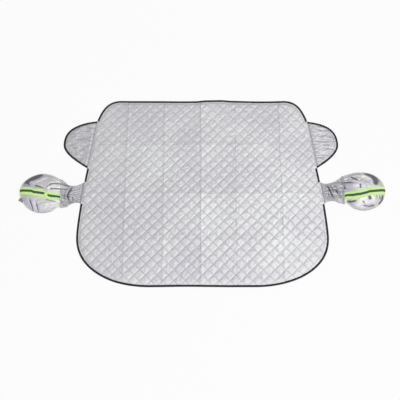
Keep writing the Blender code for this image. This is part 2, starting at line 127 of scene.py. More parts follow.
# Cloth and tape
CLEARANCE = 0.0003
VALLEY_DEPTH = 0.006  # a fold this deep gets the full painted shade of a crease
CLOTH_THICKNESS = 0.0008
TAFFETA_THICKNESS = 0.0006
BACK_THICKNESS = 0.0007
RIBBON_THICKNESS = 0.0004
TAIL_THICKNESS = 0.0005
TAPE_THICKNESS = 0.0007
TAPE_WIDTH = 0.012
TAPE_CUT = 2.3 * TAPE_WIDTH  # the tape's width before it is folded
TAPE_SEAM = 0.78 * TAPE_WIDTH  # its row of stitches, measured from the fold
TAPE_SEAM_DENT = 0.00025
CLOTH_INSET = 0.0011
LAP = 0.012
FLAP_LOW = 0.0011
FLAP_HIGH = FLAP_LOW + CLOTH_THICKNESS
EDGE_LOW = 0.0022
EDGE_HIGH = 0.0038
THREAD = 0.0007
STITCH_PITCH = 0.0030  # half of one stitch and its gap

# Sleeves and mirror pouches
SLEEVE_MIDDLE = HALF_LENGTH - 0.5945
SLEEVE_WIDTH = 0.137
SLEEVE_TOP, SLEEVE_BOTTOM = SLEEVE_MIDDLE + SLEEVE_WIDTH / 2, SLEEVE_MIDDLE - SLEEVE_WIDTH / 2
SLEEVE_WAIST = 0.108
SLEEVE_GATHERS = 12
SLEEVE_GATHER_RISE = (0.0012, 0.0022)  # the least, and what the fullest have more
SLEEVE_CRUMPLE = 0.0018
NECK_X = HALF_WIDTH + 0.065
NECK_WIDTH = 0.136
NECK_HEIGHT = 0.016
NECK_LAP = 0.038
FLARE_LENGTH = 0.150
FLARE_TOP_SLOPE = 0.80
FLARE_BOTTOM_SLOPE = 0.12
FLARE_PULL = 0.040
CREST_PULL = 0.060
CREST_X = NECK_X + FLARE_LENGTH
CAP_LENGTH = 0.133
POUCH_WIDTH = 0.248
FLANK_X = 0.853  # just past the sleeve's end the lower flank is drawn in
FLANK_REACH = 0.021
FLANK_DRAW = 0.013
POUCH_HEIGHT = 0.050
POUCH_FLATNESS = 0.66  # below 1, flatter on top and steeper at the rim than an ellipse
PLEATS = 11  # ridges round the neck, fanning out to the widest place
PLEAT_HEIGHT = 0.0032
POUCH_SLACK = 0.0028  # slow waves of its cloth
POUCH_DENTS = 0.0026
POUCH_CRUMPLE = 0.0005
POUCH_RIM = 0.0013
SWELL_SHARE = 0.80  # the pouch has its full height at this share of the flare
MOUTH_SET_BACK = 0.055
BACK_SET_IN = 0.004  # share of the width that the back stays inside the rim
BACK_HEIGHT = 0.0009
BACK_GATHER = 0.0004
ELASTIC_SET_OUT = 0.0035  # from the back's edge
ELASTIC_SET_IN = 0.006
ELASTIC_HALF_WIDTH = 0.0029
ELASTIC_HALF_DEPTH = 0.00125
ELASTIC_HEIGHT = 0.0016
SLEEVE_LIFT = 0.0016
LIP_RISE = 0.0046  # the sleeve's end stands up a little
RIBBON_WIDTH = 0.048
STRIP_WIDTH = 0.0145
RIBBON_LIFT = 0.0010
RIBBON_STITCH_PLACE = 0.47  # its rows of stitches, as a share of its width from its middle
STRIP_LIFT = 0.0016
PINCH_REACH = 0.013
PINCH_SHARE = 0.30  # the ribbon is narrower by this share where it is pinched
PINCH_RISE = 0.0028  # its cloth rises there over the reflective strip

# How each pouch lies: shifts along Y from the sleeve's middle, how far its cap is flattened,
# how many gathers the sleeve's folds lean by, the ribbon's middle line (distance from the car's
# middle, Y) and where the ribbon is pinched
LIES = {
    "left": {"side": -1, "neck": -0.019, "crest": -0.0040, "tip": 0.0040, "width": 0.243,
             "cap_trim": 0.045, "lean": -0.8, "pinch": 0.917,
             "ribbon": ((0.826, -0.0545), (0.902, -0.0465), (0.928, -0.0345), (0.992, -0.0262),
                        (1.001, -0.0195), (1.060, -0.0132), (1.078, -0.0110))},
    "right": {"side": 1, "neck": 0.0075, "crest": 0.0085, "tip": 0.0100, "width": 0.236,
              "cap_trim": 0.0, "lean": -1.6, "pinch": None,
              "ribbon": ((0.826, -0.0485), (0.923, -0.0385), (0.966, -0.0275), (0.981, -0.0220),
                         (1.068, -0.0105), (1.080, -0.0095))},
}

# Folds in millimetres: a line of points (distance from the car's middle, Y), height, width
POUCH_FOLDS = {
    "left": (
        (((918, -1), (888, 16), (848, 21.5), (800, 13)), 8.5, 7.5),
        (((918, 7.4), (894, 28.8), (854, 36.6), (824, 30.6), (800, 24.5)), -6, 4.4),
        (((905, -6), (870, 1), (794, 2)), -5.5, 4.6),
        (((1062, 22), (1036, 48), (1012, 64), (975, 79), (930, 96)), -6.8, 17),
        (((1030, 33), (985, 37), (950, 52), (910, 76)), 4.8, 6.5),
        (((1036, 43.8), (1020, 16)), -4.5, 3.8),
        (((997, 23), (965, 11), (930, -2)), -5, 4.6),
        (((1018, -60), (1002, -102), (988, -148)), -6, 4.4),
        (((976, -92), (968, -107.4), (958, -150)), -5, 4.2),
        (((997, -70), (980, -145)), 3.5, 6),
        (((930, -66), (885, -74), (845, -82)), -3.4, 4.4),
        (((955, -90), (920, -96), (870, -90)), 3, 10),
        (((1068, -48), (1060, -90)), -5.5, 5.5),
    ),
    "right": (
        (((940, 100), (1002, 82), (1024, 54), (1024, 8)), -7, 17.5),
        (((925, 83), (965, 78), (998, 56), (999, 25)), 4.5, 7.5),
        (((830, 60), (862, 68), (888, 61)), 6.5, 5),
        (((872, 79), (895, 64), (925, 49)), -5.8, 5.6),
        (((800, 40), (819, 43.7), (860, 42), (900, 35.4)), -5.2, 4.2),
        (((830, 32), (905, 25)), 2.5, 5),
        (((826, 32), (834, 18), (845, -2)), -5.5, 4.4),
        (((929.5, 33), (929.5, -3)), -4.5, 3.4),
        (((843, -73), (870, -79), (905, -75)), -5.8, 6.2),
        (((978, -44), (984, -72)), -6.2, 9.2),
        (((1005, -66), (1036, -62)), 4, 5.5),
        (((1024, -40), (1030, -64)), -4.5, 3.6),
        (((1043, -38), (1047, -68)), -4.5, 3.6),
        (((1066, -30), (1060, -75), (1032, -108)), -6, 9),
        (((930, -104), (975, -109), (1020, -100)), -5, 6),
        (((935, -76), (950, -98)), -4, 4.8),
        (((940, -92), (985, -102)), 3, 8),
    ),
}
SLEEVE_FOLDS = {
    "left": (
        (((860, 36.6), (824, 30.6), (800, 24.5), (782, 18)), -6, 4.6),
        (((860, 20), (800, 12)), 4, 6),
        (((870, 1), (794, 2)), -5, 4.6),
        (((830, -70), (826, -88)), -6, 6),
        (((764, 26), (790, -16), (797, -38), (782, -86)), -7.2, 4.6),
        (((806, -28), (796, -74)), 3.5, 4),
        (((818, -20), (813, -66)), -7, 5.2),
        (((771, -40), (760, -72)), -4.5, 3.6),
        (((752, 8), (762, -24), (745, -48)), -2.8, 3.2),
        (((830, -16), (829, -64)), 4.2, 4.2),
    ),
    "right": (
        (((800, 40), (819, 43.7), (850, 42.5)), -5.2, 4.4),
        (((726, 34), (744, 22), (761, -26), (776, -62)), -6.8, 4),
        (((738, 36), (757, 12), (770, -28), (786, -62)), 3.5, 4.4),
        (((752, 36), (768, 8), (781, -22)), -4.5, 3.4),
        (((780, 10), (802, -24), (822, -70)), -6.6, 4.4),
        (((798, 2), (813, -22), (829, -56)), 3.4, 4),
        (((772, 30), (798, 12)), -4.5, 3.6),
        (((742, -10), (748, -48)), -3.5, 3.6),
    ),
}

# The end of the left pouch's seam: its two ends on the rim, its tip and its heights
TAIL_ROOT = (Vector((1.0600, -0.0790, 0)), Vector((1.0740, -0.0350, 0)))
TAIL_TIP = Vector((1.0890, -0.0665, 0))
TAIL_LOW = 0.0014
TAIL_RISE = 0.0022
TAIL_CURL = 0.0016
TAIL_BLUNTNESS = 0.08

# Camera, fitted to the photograph, and studio
CAMERA_AIM = Vector((-0.0145, -0.0603, 0))
CAMERA_TILT = math.radians(17)
CAMERA_DISTANCE = 3.9446
CAMERA_LENS = 60
BRIGHT_SIDE = Vector((0.27, -0.40, 0.87))  # the studio is brightest towards here
WORLD_STRENGTH = 0.99
FLOOR_REACH = 12
FLOOR_WHITENESS = 0.85

UP = Vector((0, 0, 1))


def in_metres(folds):
    """One table of folds, from millimetres."""
    return {side_name: [([(x / 1000, y / 1000) for x, y in points], rise / 1000, width / 1000)
                        for points, rise, width in rows] for side_name, rows in folds.items()}


POUCH_FOLDS = in_metres(POUCH_FOLDS)
SLEEVE_FOLDS = in_metres(SLEEVE_FOLDS)


# Points and lines

def plan(x, y):
    return Vector((x, y, 0))


def smooth_step(value):
    value = max(0.0, min(1.0, value))
    return value * value * (3 - 2 * value)


def curve(start, start_pull, end_pull, end):
    """Fine points along a cubic curve whose handles reach out from its ends by the two pulls."""
    points = interpolate_bezier(start, start + start_pull, end + end_pull, end, 120)
    return [Vector(point) for point in points]


def mirrored(points):
    """The same line on the other side of the car, in the opposite order."""
    return [plan(-p.x, p.y) for p in reversed(points)]


def lengths_along(points):
    """Distance from the start of the line to each of its points."""
    total = [0.0]
    for a, b in zip(points, points[1:]):
        total.append(total[-1] + (b - a).length)
    return total


def evenly(points, count):
    """The same line with count even steps."""
    total = lengths_along(points)
    even = []
    for i in range(count + 1):
        want = total[-1] * i / count
        after = min(max(bisect_left(total, want), 1), len(points) - 1)
        before = after - 1
        run = total[after] - total[before]
        even.append(points[before].lerp(points[after], (want - total[before]) / run if run else 0))
    return even


def spaced(points, step):
    return evenly(points, max(2, round(lengths_along(points)[-1] / step)))


def inward_normals(points):
    """Unit normals to the right of a line's direction: into the cloth, as its edges run clockwise."""
    normals = []
    for i in range(len(points)):
        run = points[min(i + 1, len(points) - 1)] - points[max(i - 1, 0)]
        normals.append(plan(run.y, -run.x).normalized())
    return normals


def inset(points, distance):
    return [p + n * distance for p, n in zip(points, inward_normals(points))]


def right_edge():
    """Right half of the panel's outline, down the page."""
    top = plan(TOP_FLAT / 2, HALF_LENGTH)
    shoulder = plan(HALF_WIDTH - SHOULDER_SET_IN, HALF_LENGTH - SHOULDER_DROP)
    widest = plan(HALF_WIDTH, WIDEST_RISE - HALF_LENGTH)
    bottom = plan(BOTTOM_FLAT / 2, -HALF_LENGTH)
    corner = curve(top, plan(TOP_CORNER_PULL, 0), plan(-SHOULDER_SLOPE, 1) * SHOULDER_PULL, shoulder)
    side = curve(shoulder, plan(SIDE_SLOPE, -1) * SIDE_PULL, plan(0, SIDE_PULL), widest)
    lower = curve(widest, plan(0, -LOWER_SIDE_PULL), plan(BOTTOM_PULL, 0), bottom)
    return corner + side[1:] + lower[1:]


EDGE = right_edge()
OUTLINE = spaced(EDGE + mirrored(EDGE) + EDGE[:1], 0.0015)
EDGE_UPWARDS = [(p.y, p.x) for p in reversed(EDGE)]


def half_width_at(y):
    """Half the panel's width at a height on the page, to the outer fold of its binding."""
    if y >= HALF_LENGTH:
        return TOP_FLAT / 2
    place = min(max(bisect_left(EDGE_UPWARDS, (y, 0)), 1), len(EDGE_UPWARDS) - 1)
    (y0, x0), (y1, x1) = EDGE_UPWARDS[place - 1], EDGE_UPWARDS[place]
    return x0 + (x1 - x0) * (y - y0) / (y1 - y0) if y1 > y0 else x1


def edge_point(y):
    """The right edge at a height on the page."""
    return plan(half_width_at(y), y)


def edge_between(upper, lower):
    """The right edge between two heights on the page."""
    return [edge_point(upper)] + [p for p in EDGE if lower < p.y < upper] + [edge_point(lower)]


def flap_edge():
    """Outer edge of the right flap, from its upper corner round to its lower one."""
    upper, lower = edge_point(FLAP_TOP), edge_point(FLAP_BOTTOM)
    widest = plan(HALF_WIDTH + FLAP_REACH, HALF_LENGTH - FLAP_WIDEST_DROP)
    first = curve(upper, plan(1, -FLAP_TOP_SLOPE) * FLAP_TOP_PULL, plan(0, FLAP_ROUND_PULL), widest)
    second = curve(widest, plan(0, -FLAP_ROUND_PULL), plan(1, FLAP_BOTTOM_SLOPE) * FLAP_BOTTOM_PULL, lower)
    return first + second[1:]


def outline_tree():
    tree = kdtree.KDTree(len(OUTLINE))
    for i, point in enumerate(OUTLINE):
        tree.insert(point, i)
    tree.balance()
    return tree


OUTLINE_TREE = outline_tree()
OUTLINE_NORMALS = inward_normals(OUTLINE)


def lie(point):
    """How the whole cloth lies: a slow roll that lifts it a little and a slight waver of its edges.

    The top edge stands out a little beside the middle, and both flaps are drawn to the left.
    """
    hold = 1 - smooth_step((abs(point.x) - 0.69) / 0.09)
    spot = plan(point.x, point.y)
    waver = noise.noise_vector(spot * 4.0 + UP * 3.7)
    roll = 0.5 + 0.9 * noise.noise(spot * 5.0 + UP * 9.1)
    lift = ROLL_LIFT * smooth_step(roll) * hold
    moved = point + plan(waver.x, waver.y) * WAVER * hold + UP * lift
    beside_middle = smooth_step(1.6 - abs(point.x - TOP_BULGE_X) / TOP_BULGE_REACH)
    moved.y += TOP_BULGE * beside_middle * smooth_step((point.y - HALF_LENGTH) / 0.12 + 1)
    if abs(point.x) > HALF_WIDTH - SHOULDER_SET_IN and point.y > SLEEVE_MIDDLE + SLEEVE_WIDTH:
        beyond = max(0.0, abs(point.x) - half_width_at(point.y))
        moved.x += FLAP_DRAW * beyond
    return moved


# Pieces

def cloth_grid(along, across, place, size):
    """A sheet from a flat grid. place takes the shares along and across.

    It gives a point, or a point and how much painted shade the cloth gets there, from 0 to 1.
    """
    bm = bmesh.new()
    uv_layer = bm.loops.layers.uv.new("cloth")
    crease_shade_layer = bm.verts.layers.float.new("crease")
    bmesh.ops.create_grid(bm, x_segments=along, y_segments=across, size=0.5)
    for face in bm.faces:
        for loop in face.loops:
            flat = loop.vert.co
            loop[uv_layer].uv = ((flat.x + 0.5) * size[0], (flat.y + 0.5) * size[1])
    for vert in bm.verts:
        placed = place(vert.co.x + 0.5, vert.co.y + 0.5)
        vert.co, vert[crease_shade_layer] = placed if isinstance(placed, tuple) else (placed, 0.0)
    bmesh.ops.remove_doubles(bm, verts=bm.verts, dist=2e-5)
    return bm


def put_in_scene(name, data):
    made = bpy.data.objects.new(name, data)
    bpy.context.scene.collection.objects.link(made)
    return made


def add_piece(name, bm, materials, replaced=(), thickness=0.0):
    """Makes the mesh an object in place. A thickness goes below the sheet's outer side."""
    for face in bm.faces:
        face.smooth = True
    mesh = bpy.data.meshes.new(name)
    bm.to_mesh(mesh)
    bm.free()
    for mat in materials:
        mesh.materials.append(mat)
    piece = put_in_scene(name, mesh)
    if thickness:
        wall = piece.modifiers.new("Cloth", "SOLIDIFY")
        wall.thickness = thickness
        wall.offset = -1
    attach(piece, "root")
    if replaced:
        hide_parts(*replaced)
    return piece


def add_cloth(name, steps, place, size, mat, replaced=(), thickness=0.0):
    """A sheet from a flat grid, with its outer side up."""
    bm = cloth_grid(*steps, place, size)
    bm.normal_update()
    if sum(face.normal.z * face.calc_area() for face in bm.faces) < 0:
        bmesh.ops.reverse_faces(bm, faces=bm.faces)
    return add_piece(name, bm, [mat], replaced, thickness)


def sew(name, rows, mat):
    """Threads along rows of points: one gap of two is a stitch that shows."""
    bm = bmesh.new()
    for points in rows:
        for a, b in zip(points[::2], points[1::2]):
            turn = (b - a).to_track_quat("X", "Z").to_matrix().to_4x4()
            size = Matrix.Diagonal(((b - a).length * 0.55, THREAD / 2, THREAD / 2, 1))
            bmesh.ops.create_icosphere(bm, subdivisions=1, radius=1,
                                       matrix=Matrix.Translation((a + b) / 2) @ turn @ size)
    return add_piece(name, bm, [mat])


# Quilted panel

def lattice_place(x, y):
    """Place in the quilting, in pillows along each of the two stitch directions."""
    dx, dy = x - QUILT_SHIFT_X, y - QUILT_SHIFT_Y
    reach = QUILT_PITCH * math.sqrt(2)
    return (dx + dy) / reach, (dy - dx) / reach


def dome(a, b):
    """Height of a pillow from 0 at its stitches to 1, with its own fill and tilt."""
    i, j = math.floor(a), math.floor(b)
    s, t = a - i, b - j
    own = noise.cell_vector(Vector((i + 0.5, j + 0.5, 0.5)))
    fill = 0.80 + 0.20 * own.x
    tilt = 1 + 0.55 * (own.y - 0.5) * (s - 0.5) + 0.55 * (own.z - 0.5) * (t - 0.5)
    swell = max(0.0, math.sin(math.pi * s) * math.sin(math.pi * t)) ** PILLOW_FULLNESS
    return min(1.06, fill * tilt * swell)


def crease_height(x, y):
    """Ridges and valleys where the cover was folded, fading in and out along their length."""
    height = 0.0
    for places, across, along in ((UPRIGHT_CREASES, x, y), (LEVEL_CREASES, y, x)):
        for place, rise in places:
            gap = abs(across - place)
            if gap < 4 * CREASE_WIDTH:
                patchy = 0.75 + 0.6 * noise.noise(Vector((place * 40, along * 7, 2.0)))
                core = 0.35 * math.exp(-gap / CREASE_CORE_WIDTH)
                height += rise * patchy * (0.65 * math.exp(-gap / CREASE_WIDTH) + core)
    return height


def crumple(x, y, scale, sharpness=1.0):
    """Ridged noise from 0 to 1: thin crests, as in crumpled film."""
    spot = Vector((x, y, 0.3)) * scale
    bent = spot + noise.noise_vector(spot * 0.6) * 0.7
    return (1 - min(1.0, 2.2 * abs(noise.noise(bent)))) ** sharpness


def sewn_on(y):
    """1 along the side edges where a flap or a sleeve is sewn on, 0 where the binding runs."""
    seams = ((FLAP_BOTTOM, FLAP_TOP), (SLEEVE_BOTTOM, SLEEVE_TOP))
    return sum(smooth_step((y - low) / SEAM_FADE) * smooth_step((high - y) / SEAM_FADE)
               for low, high in seams)


def quilted_share(y, edge_gap):
    """0 in the pressed strip along the edge, 1 where the pillows are full."""
    pressed_width = PRESSED_WIDTH + (SEAM_PRESSED_WIDTH - PRESSED_WIDTH) * sewn_on(y)
    return smooth_step((edge_gap - pressed_width) / PRESSED_BLEND)


def film_height(x, y, edge_gap):
    """Upper side of the panel above the floor."""
    pillow = dome(*lattice_place(x, y))
    wrinkle = sum(height * (crumple(x, y, scale) - 0.4) for scale, height in FILM_WRINKLES)
    rise = PILLOW_RISE * (1 - TOP_FLATTENING * smooth_step((y + 0.1) / 0.6))
    quilted = GROOVE_HEIGHT + rise * pillow + wrinkle * min(1, 0.25 + pillow) + crease_height(x, y)
    row_dent = EDGE_STITCH_DENT * math.exp(-((edge_gap - EDGE_STITCH_INSET) / 0.0018) ** 2)
    pressed = EDGE_HIGH - row_dent * (1 - sewn_on(y))
    ripple = FILM_RIPPLE * noise.noise(Vector((x, y, 4)) * 45)
    ripple *= smooth_step((edge_gap - TAPE_WIDTH) / 0.004)
    return pressed + (quilted - pressed) * quilted_share(y, edge_gap) + ripple


def lining_height(x, y, edge_gap):
    """Lower side of the panel above the floor."""
    quilted = LINING_RISE * (1 - dome(*lattice_place(x, y)))
    return EDGE_LOW + (quilted - EDGE_LOW) * quilted_share(y, edge_gap)


def panel_side(bm, uv_layer, upper):
    """The film or the lining: a grid along the stitch lines, drawn in to the cloth's edge."""
    steps, height_at = (QUILT_STEPS, film_height) if upper else (LINING_STEPS, lining_height)
    reach = (HALF_WIDTH + HALF_LENGTH) / math.sqrt(2) + QUILT_PITCH
    cells = 2 * math.ceil(reach / QUILT_PITCH)
    place = Matrix.Translation((QUILT_SHIFT_X, QUILT_SHIFT_Y, 0)) @ Matrix.Rotation(math.radians(45), 4, "Z")
    grid = bmesh.ops.create_grid(bm, x_segments=cells * steps, y_segments=cells * steps,
                                 size=cells * QUILT_PITCH / 2, matrix=place)
    outside = {vert for vert in grid["verts"] if abs(vert.co.y) > HALF_LENGTH - CLOTH_INSET
               or abs(vert.co.x) > half_width_at(vert.co.y) - CLOTH_INSET}
    spare = [face for face in {f for v in outside for f in v.link_faces} if outside.issuperset(face.verts)]
    bmesh.ops.delete(bm, geom=spare, context="FACES")
    kept = [vert for vert in grid["verts"] if vert.is_valid]
    for vert in kept:
        spot = plan(vert.co.x, vert.co.y)
        near, index, edge_gap = OUTLINE_TREE.find(spot)
        if vert in outside:
            spot = near + OUTLINE_NORMALS[index] * CLOTH_INSET
            edge_gap = CLOTH_INSET
        for loop in vert.link_loops:
            loop[uv_layer].uv = lattice_place(spot.x, spot.y)
        vert.co = lie(spot + UP * height_at(spot.x, spot.y, edge_gap))
    faces = list({f for v in kept for f in v.link_faces})
    if not upper:
        bmesh.ops.reverse_faces(bm, faces=faces)
    for face in faces:
        face.material_index = 0 if upper else 1


def build_panel(film, lining):
    bm = bmesh.new()
    uv_layer = bm.loops.layers.uv.new("quilting")
    panel_side(bm, uv_layer, True)
    panel_side(bm, uv_layer, False)
    rims = [edge for edge in bm.edges if edge.is_boundary]
    bmesh.ops.bridge_loops(bm, edges=rims)
    panel = add_piece("quilted_panel_film", bm, [film, lining], ["quilted_panel"])


# Binding tape

def tape_section(low, high):
    """Outer side of the folded tape, as inset and height, from its upper edge round the fold."""
    roof = high + CLEARANCE + TAPE_THICKNESS
    floor = low - CLEARANCE - TAPE_THICKNESS
    radius = (roof - floor) / 2
    middle = (roof + floor) / 2
    leg = [TAPE_WIDTH - (TAPE_WIDTH - radius) * i / 6 for i in range(6)]
    upper = [(gap, roof - TAPE_SEAM_DENT * math.exp(-((gap - TAPE_SEAM) / 0.0012) ** 2)) for gap in leg]
    turns = [math.radians(90 - 22.5 * i) for i in range(9)]
    fold = [(radius * (1 - math.cos(turn)), middle + radius * math.sin(turn)) for turn in turns]
    lower = [(gap, floor) for gap in reversed(leg)]
    return upper + fold + lower


def outside_panel(point):
    """Keeps a point of the flap's tape off the panel's own edge."""
    limit = half_width_at(point.y) + CLEARANCE
    if abs(point.x) < limit:
        return Vector((math.copysign(limit, point.x), point.y, point.z))
    return point


def build_tape(name, path, low, high, mat, thread, trim=None):
    """Tape folded round an edge that runs clockwise, and its row of stitches."""
    points = spaced(path, 0.0045)
    normals = inward_normals(points)
    section = tape_section(low, high)
    length = lengths_along(points)[-1]
    steps = len(points) - 1

    def place(along, across):
        i = round(along * steps)
        gap, height = section[round(across * (len(section) - 1))]
        uneven = noise.noise(points[i] * 30) * 0.0006 * gap / TAPE_WIDTH
        point = points[i] + normals[i] * (gap + uneven) + UP * height
        return lie(trim(point) if trim else point)

    bm = cloth_grid(steps, len(section) - 1, place, (length, TAPE_CUT))
    tape = add_piece(name + "_tape", bm, [mat], [name], TAPE_THICKNESS)
    stitched = spaced(inset(points, TAPE_SEAM), STITCH_PITCH)
    roof = high + CLEARANCE + TAPE_THICKNESS
    row = [p + UP * roof for p in stitched]
    row = [lie(trim(p) if trim else p) for p in row]
    sew(name + "_stitches", [row], thread)


def build_tapes(mats):
    over = [p for p in EDGE if p.y > FLAP_TOP] + [edge_point(FLAP_TOP)]
    between = edge_between(FLAP_BOTTOM, SLEEVE_TOP)
    under = [edge_point(SLEEVE_BOTTOM)] + [p for p in EDGE if p.y < SLEEVE_BOTTOM]
    runs = {"top_binding": mirrored(over) + over, "bottom_binding": under + mirrored(under),
            "right_side_binding": between, "left_side_binding": mirrored(between)}
    for name, path in runs.items():
        build_tape(name, path, EDGE_LOW, EDGE_HIGH, mats["tape"], mats["black_thread"])
    fold = flap_edge()
    for name, path in (("right_flap_binding", fold), ("left_flap_binding", mirrored(fold))):
        build_tape(name, path, FLAP_LOW, FLAP_HIGH, mats["tape"], mats["black_thread"], outside_panel)


def build_edge_stitches(thread):
    """The second row of stitches, inside the binding. It stops where a flap or a sleeve is sewn on."""
    ring = spaced(inset(OUTLINE, EDGE_STITCH_INSET), STITCH_PITCH * 1.2)
    pairs = [pair for pair in zip(ring[::2], ring[1::2]) if sewn_on(pair[0].y) < 0.5]
    rows = [[lie(p + UP * (EDGE_HIGH - 0.0003)) for p in pair] for pair in pairs]
    sew("panel_edge_stitches", rows, thread)


# Side flaps

def build_flap(side_name, side, mats):
    fold = flap_edge()
    seam = edge_between(fold[0].y, fold[-1].y)
    along, across = 150, 50
    inner = evenly(inset(seam, LAP), along)
    outer = evenly(inset(fold, CLOTH_INSET), along)

    def place(down, out):
        i = round(down * along)
        flat = inner[i].lerp(outer[i], out)
        point = plan(flat.x * side, flat.y)
        edge_gap = (outer[i] - flat).length
        seam_gap = flat.x - half_width_at(flat.y)
        free = smooth_step((edge_gap - TAPE_WIDTH) / 0.018) * smooth_step((seam_gap - 0.002) / 0.015)
        if side > 0:
            streaks = noise.noise(Vector((flat.x * 12, flat.y * 60, 0.5)))
            creases = crumple(flat.x * 0.45, flat.y * 1.6, 38)
        else:
            turned = Vector((flat.x + flat.y * 0.7, flat.y - flat.x * 0.7, 0))
            streaks = noise.noise(Vector((turned.x * 14, turned.y * 42, 0.9)))
            creases = crumple(turned.x * 0.7, turned.y * 1.2, 34)
        swell = FLAP_SWELL + FLAP_STREAKS * streaks + FLAP_CREASES * (creases - 0.3)
        puff = FLAP_PUFF * noise.noise(point * 16 + UP * 2)
        # Painted shadow of the panel's edge, in a line just outside the seam.
        edge_shadow_line = 0.5 * math.exp(-((seam_gap - 0.003) / 0.004) ** 2)
        return lie(point + UP * (FLAP_HIGH + free * max(0.0, swell + puff))), edge_shadow_line

    length = lengths_along(seam)[-1]
    flap = add_cloth(side_name + "_flap_cloth", (along, across), place, (length, FLAP_REACH + LAP + 0.06),
                     mats["cloth"], [side_name + "_flap"], CLOTH_THICKNESS)


# Mirror pouches

def flare_rails(side_name):
    """Upper and lower edge of the pouch from its neck to its widest place."""
    lie_of = LIES[side_name]
    rails = []
    for way, slope in ((1, FLARE_TOP_SLOPE), (-1, FLARE_BOTTOM_SLOPE)):
        neck = plan(NECK_X, SLEEVE_MIDDLE + lie_of["neck"] + way * NECK_WIDTH / 2)
        crest = plan(CREST_X, SLEEVE_MIDDLE + lie_of["crest"] + way * lie_of["width"] / 2)
        rails.append(curve(neck, plan(1, way * slope) * FLARE_PULL, plan(-CREST_PULL, 0), crest))
    return rails


RAILS = {side_name: flare_rails(side_name) for side_name in LIES}
RAIL_PLACES = {side_name: [[p.x for p in rail] for rail in rails] for side_name, rails in RAILS.items()}


def height_on(points, places, x):
    """Y of a rail at a distance from the car's middle."""
    place = min(max(bisect_left(places, x), 1), len(points) - 1)
    a, b = points[place - 1], points[place]
    return a.y + (b.y - a.y) * (x - a.x) / (b.x - a.x)


@cache
def pouch_section(side_name, x):
    """Middle Y, half width and height of the pouch at a distance from the car's middle."""
    lie_of = LIES[side_name]
    if x <= CREST_X:
        upper, lower = (height_on(*rail, x) for rail in zip(RAILS[side_name], RAIL_PLACES[side_name]))
        swell = smooth_step((x - NECK_X) / (FLARE_LENGTH * SWELL_SHARE))
        return (upper + lower) / 2, (upper - lower) / 2, NECK_HEIGHT + (POUCH_HEIGHT - NECK_HEIGHT) * swell
    reach = min(1.0, (x - CREST_X) / CAP_LENGTH)
    round_off = math.sqrt(1 - reach * reach)
    middle = SLEEVE_MIDDLE + lie_of["crest"] + (lie_of["tip"] - lie_of["crest"]) * reach
    return middle, lie_of["width"] / 2 * round_off, POUCH_HEIGHT * round_off ** POUCH_FLATNESS


def smooth_dome(side_name, x, angle):
    """The pouch without its folds: flat on top and steep at the rim."""
    x = min(x, CREST_X + CAP_LENGTH - 2e-5)
    middle, half, height = pouch_section(side_name, x)
    if angle < math.pi / 2 and x > CREST_X:
        half *= 1 - LIES[side_name]["cap_trim"] * math.sin(math.pi * (x - CREST_X) / CAP_LENGTH)
    elif angle > math.pi / 2:
        half -= FLANK_DRAW * math.exp(-((x - FLANK_X) / FLANK_REACH) ** 2)
    rise = height * max(0.0, math.sin(angle)) ** POUCH_FLATNESS
    return Vector((x, middle + half * math.cos(angle), POUCH_RIM + rise))


def flanks(side_name, x):
    """Y of the pouch's upper and lower rim at a distance from the car's middle."""
    return (smooth_dome(side_name, x, angle).y for angle in (0, math.pi))


def outward(side_name, x, angle):
    """Unit normal of the smooth pouch."""
    turn = min(max(angle, 0.06), math.pi - 0.06)
    place = min(x, CREST_X + CAP_LENGTH - 0.002)
    over = smooth_dome(side_name, place, turn - 0.03) - smooth_dome(side_name, place, turn + 0.03)
    out = smooth_dome(side_name, place + 0.0015, turn) - smooth_dome(side_name, place - 0.0015, turn)
    return out.cross(over).normalized()


def fold_height(folds, spot):
    """Sum of the folds that pass near a place."""
    total = 0.0
    for points, rise, width in folds:
        best, where = 1.0, 0.0
        for k, (a, b) in enumerate(zip(points, points[1:])):
            run_x, run_y = b[0] - a[0], b[1] - a[1]
            share = ((spot.x - a[0]) * run_x + (spot.y - a[1]) * run_y) / (run_x ** 2 + run_y ** 2)
            share = max(0.0, min(1.0, share))
            gap = math.hypot(spot.x - a[0] - run_x * share, spot.y - a[1] - run_y * share)
            if gap < best:
                best, where = gap, (k + share) / (len(points) - 1)
        if best < 4 * width:
            ends = smooth_step(4 * where) * smooth_step(4 * (1 - where)) * 0.85 + 0.15
            total += rise * ends * math.exp(-(best / width) ** 1.3)
    return total


def ribbon_middle(side_name, x):
    """Y of the ribbon's middle line."""
    route = LIES[side_name]["ribbon"]
    for (x0, y0), (x1, y1) in zip(route, route[1:]):
        if x <= x1 or (x1, y1) == route[-1]:
            return y0 + (y1 - y0) * (x - x0) / (x1 - x0)


def pleat_rise(side_name, here, angle):
    """Gathers that fan out from the neck to the widest place, with none under the ribbon."""
    fade = smooth_step((CREST_X - here.x) / FLARE_LENGTH)
    clear = smooth_step((abs(here.y - ribbon_middle(side_name, here.x)) - RIBBON_WIDTH / 2) / 0.012)
    walk = PLEATS * angle / math.pi + 0.9 * noise.noise(Vector((here.x * 12, angle * 1.5, 2.0)))
    return PLEAT_HEIGHT * fade * clear * (1 - abs(2 * (walk % 1) - 1)) ** 1.6


def valley_shade(folds):
    """Painted shade from 0 to 1, crisp along the valleys of the folds."""
    return smooth_step((-folds / VALLEY_DEPTH - 0.15) / 0.55)


